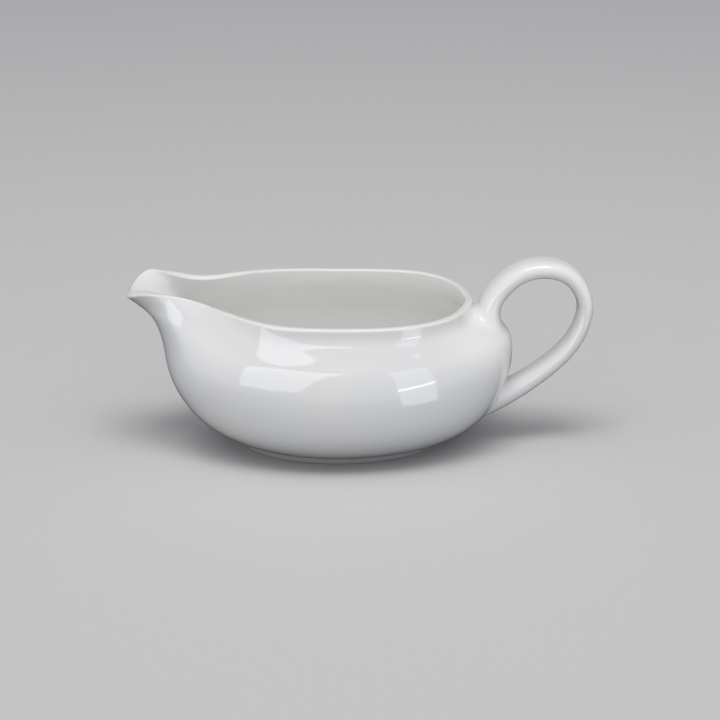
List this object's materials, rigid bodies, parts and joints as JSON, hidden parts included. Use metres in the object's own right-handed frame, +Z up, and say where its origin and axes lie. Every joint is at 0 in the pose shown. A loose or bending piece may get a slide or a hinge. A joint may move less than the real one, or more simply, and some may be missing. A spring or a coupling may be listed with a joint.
{
  "type": "gravy boat",
  "caption": "Oval gravy boat: rounded bowl with a pulled pouring spout at one end, a loop handle at the other, standing on an oval foot ring.",
  "frame": {"origin": "middle of the overall length and width, on the plane the foot ring stands on", "axes": "+X from the pouring spout toward the handle, +Z up out of the mouth, +Y across the boat; the XZ plane is the plane of symmetry"},
  "size_m": [0.2103, 0.0998, 0.0859],
  "materials": {
    "glazed_porcelain": "clear gloss glaze over white porcelain",
    "handle_porcelain": "clear gloss glaze over white porcelain",
    "joint_porcelain": "clear gloss glaze, a little thicker in the corner of the joint",
    "foot_porcelain": "glazed sides, dry wiped standing edge"
  },
  "bodies": {
    "root": {"bowl": "glazed_porcelain", "foot_ring": "foot_porcelain", "handle": "handle_porcelain", "upper_handle_joint": "joint_porcelain", "lower_handle_joint": "joint_porcelain"}
  },
  "joints": []
}
